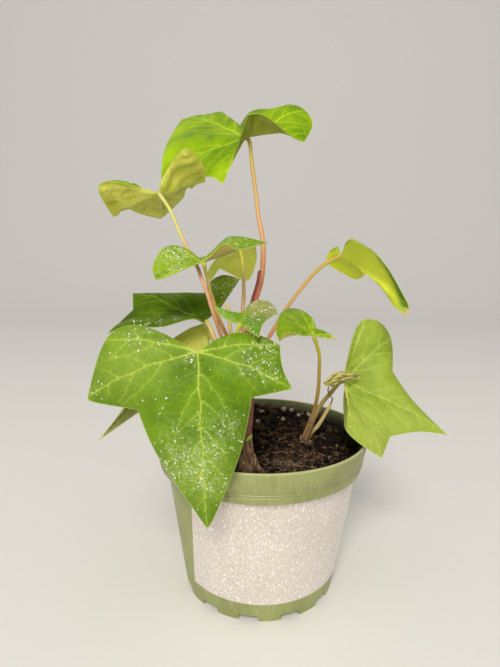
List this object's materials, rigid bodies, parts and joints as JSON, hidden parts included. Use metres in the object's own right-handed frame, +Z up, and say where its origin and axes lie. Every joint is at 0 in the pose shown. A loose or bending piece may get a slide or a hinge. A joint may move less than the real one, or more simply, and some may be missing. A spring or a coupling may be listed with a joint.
{
  "type": "potted ivy",
  "caption": "Young broad-leaved ivy on long thin petioles in a tapered nursery pot with a wide rim band, notched foot and plain front label.",
  "frame": {"origin": "centre of the pot's underside, on the surface that the pot stands on", "axes": "+Z up along the pot's axis; -Y toward the viewer of the label's side; +X to that viewer's right"},
  "size_m": [0.1687, 0.1348, 0.2483],
  "materials": {
    "pot_plastic": "satin",
    "label_paper": "pearly",
    "soil": "loose peat and bark",
    "bark": "rough",
    "stalk": "waxy",
    "leaf_front": "waxy, dusted",
    "leaf_right": "waxy",
    "leaf_young": "waxy",
    "leaf_lime": "waxy",
    "leaf_underside": "matte underside",
    "leaf_pale": "matte underside",
    "leaf_dark": "glossy",
    "leaf_dusty": "dusty",
    "leaf_dry": "dry and crumpled"
  },
  "bodies": {
    "root": {"pot": "pot_plastic", "label": "label_paper", "soil": "soil", "stem_main": "bark", "stem_right": "bark", "stub_centre": "stalk", "stub_right": "stalk", "leaf_front": "leaf_front", "leaf_right": "leaf_right", "leaf_upright": "leaf_young", "leaf_top": "leaf_lime", "leaf_upleft": "leaf_underside", "leaf_twist": "leaf_front", "leaf_pale": "leaf_pale", "leaf_left": "leaf_dark", "leaf_centre": "leaf_dusty", "leaf_small": "leaf_lime", "leaf_hidden": "leaf_underside", "leaf_withered": "leaf_dry"}
  },
  "joints": []
}
